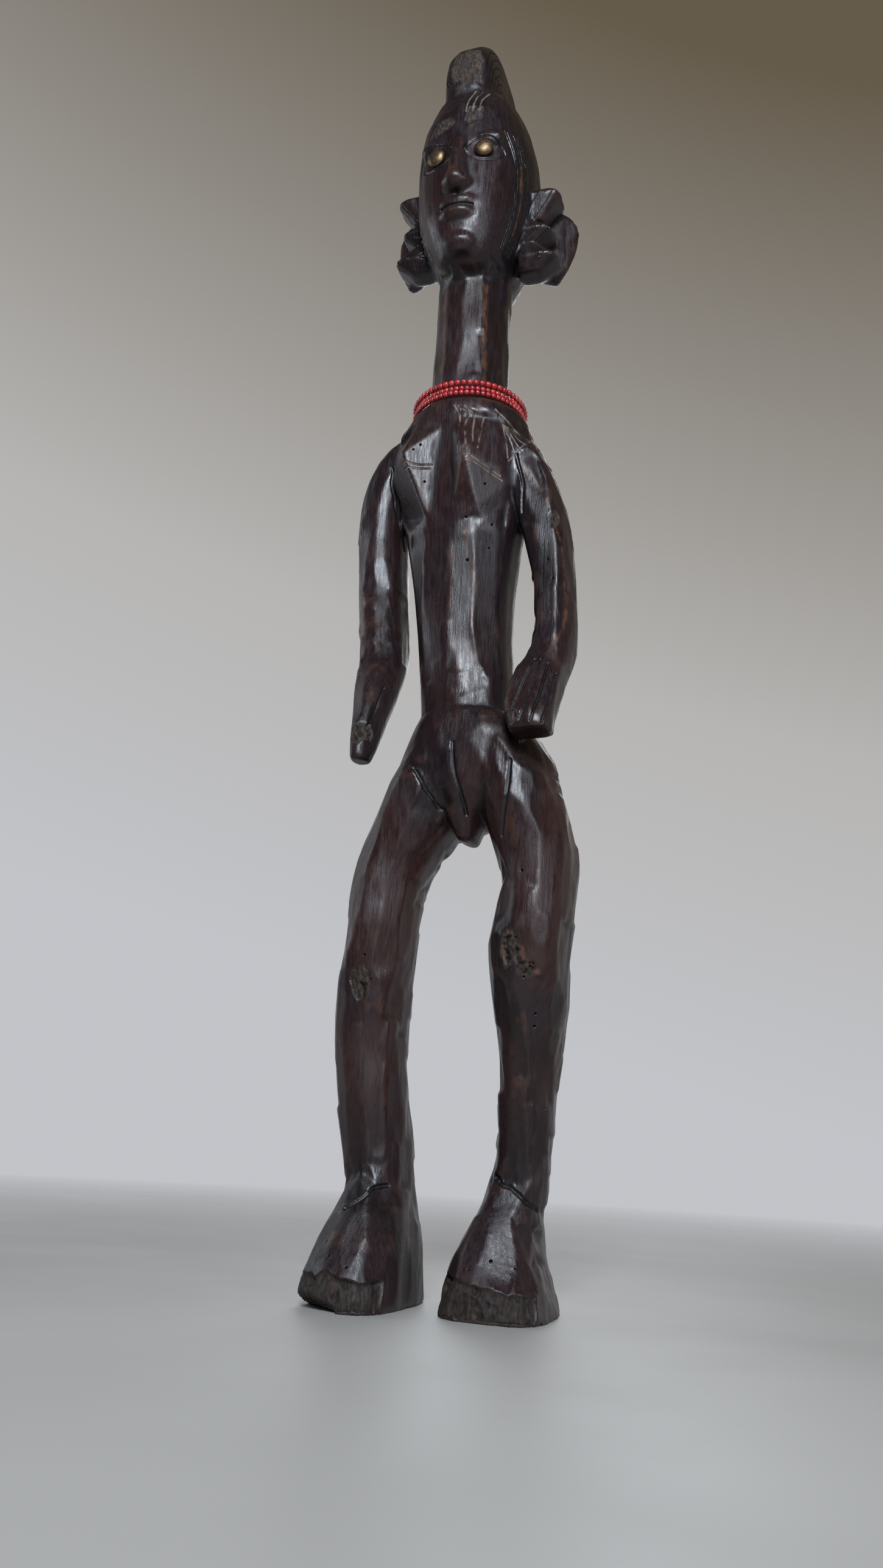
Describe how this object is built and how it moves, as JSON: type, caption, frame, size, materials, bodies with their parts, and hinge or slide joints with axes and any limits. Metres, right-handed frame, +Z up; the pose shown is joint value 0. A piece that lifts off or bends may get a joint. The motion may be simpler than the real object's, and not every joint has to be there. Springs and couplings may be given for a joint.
{
  "type": "ancestor figure",
  "caption": "Standing wooden ancestor figure with a tall crest, flanged ears and a hand on its hip, with brass tack eyes and three strings of red beads round its neck.",
  "frame": {"origin": "middle of the bounding box's base, on the ground under the feet", "axes": "+Z up; the figure faces -Y; +X is the figure's own left"},
  "size_m": [0.1622, 0.129, 0.925],
  "materials": {
    "wood": "hand-adzed hardwood with a near-black, worn and handled patina",
    "brass": "aged, dull polish",
    "bead_glass": "opaque red, soft gloss",
    "cotton": "dark twisted thread"
  },
  "bodies": {
    "figure": {"carved_figure": "wood", "eye_tack_right": "brass", "eye_tack_left": "brass"},
    "lower_string": {"lower_thread": "cotton"},
    "lower_beads": {"lower_beads_1": "bead_glass", "lower_beads_2": "bead_glass", "lower_beads_3": "bead_glass", "lower_beads_4": "bead_glass", "lower_beads_5": "bead_glass", "lower_beads_6": "bead_glass", "lower_beads_7": "bead_glass", "lower_beads_8": "bead_glass", "lower_knot": "cotton"},
    "middle_string": {"middle_thread": "cotton"},
    "middle_beads": {"middle_beads_1": "bead_glass", "middle_beads_2": "bead_glass", "middle_beads_3": "bead_glass", "middle_beads_4": "bead_glass", "middle_beads_5": "bead_glass", "middle_beads_6": "bead_glass", "middle_beads_7": "bead_glass", "middle_beads_8": "bead_glass", "middle_knot": "cotton"},
    "upper_string": {"upper_thread": "cotton"},
    "upper_beads": {"upper_beads_1": "bead_glass", "upper_beads_2": "bead_glass", "upper_beads_3": "bead_glass", "upper_beads_4": "bead_glass", "upper_beads_5": "bead_glass", "upper_beads_6": "bead_glass", "upper_beads_7": "bead_glass", "upper_beads_8": "bead_glass", "upper_knot": "cotton"}
  },
  "joints": [
    {"name": "lower_string_lift", "type": "slide", "parent": "figure", "child": "lower_string", "axis": [0, 0, 1], "range_m": [0, 0.03]},
    {"name": "lower_string_turn", "type": "hinge", "parent": "lower_string", "child": "lower_beads", "pos_m": [-0.00435, 0.00007, 0.5873], "axis": [0, 0, 1], "continuous": true},
    {"name": "middle_string_lift", "type": "slide", "parent": "lower_string", "child": "middle_string", "axis": [0, 0, 1], "range_m": [0, 0.03]},
    {"name": "middle_string_turn", "type": "hinge", "parent": "middle_string", "child": "middle_beads", "pos_m": [-0.00435, 0.00007, 0.5913], "axis": [0, 0, 1], "continuous": true},
    {"name": "upper_string_lift", "type": "slide", "parent": "middle_string", "child": "upper_string", "axis": [0, 0, 1], "range_m": [0, 0.03]},
    {"name": "upper_string_turn", "type": "hinge", "parent": "upper_string", "child": "upper_beads", "pos_m": [-0.00435, 0.00007, 0.5955], "axis": [0, 0, 1], "continuous": true}
  ]
}
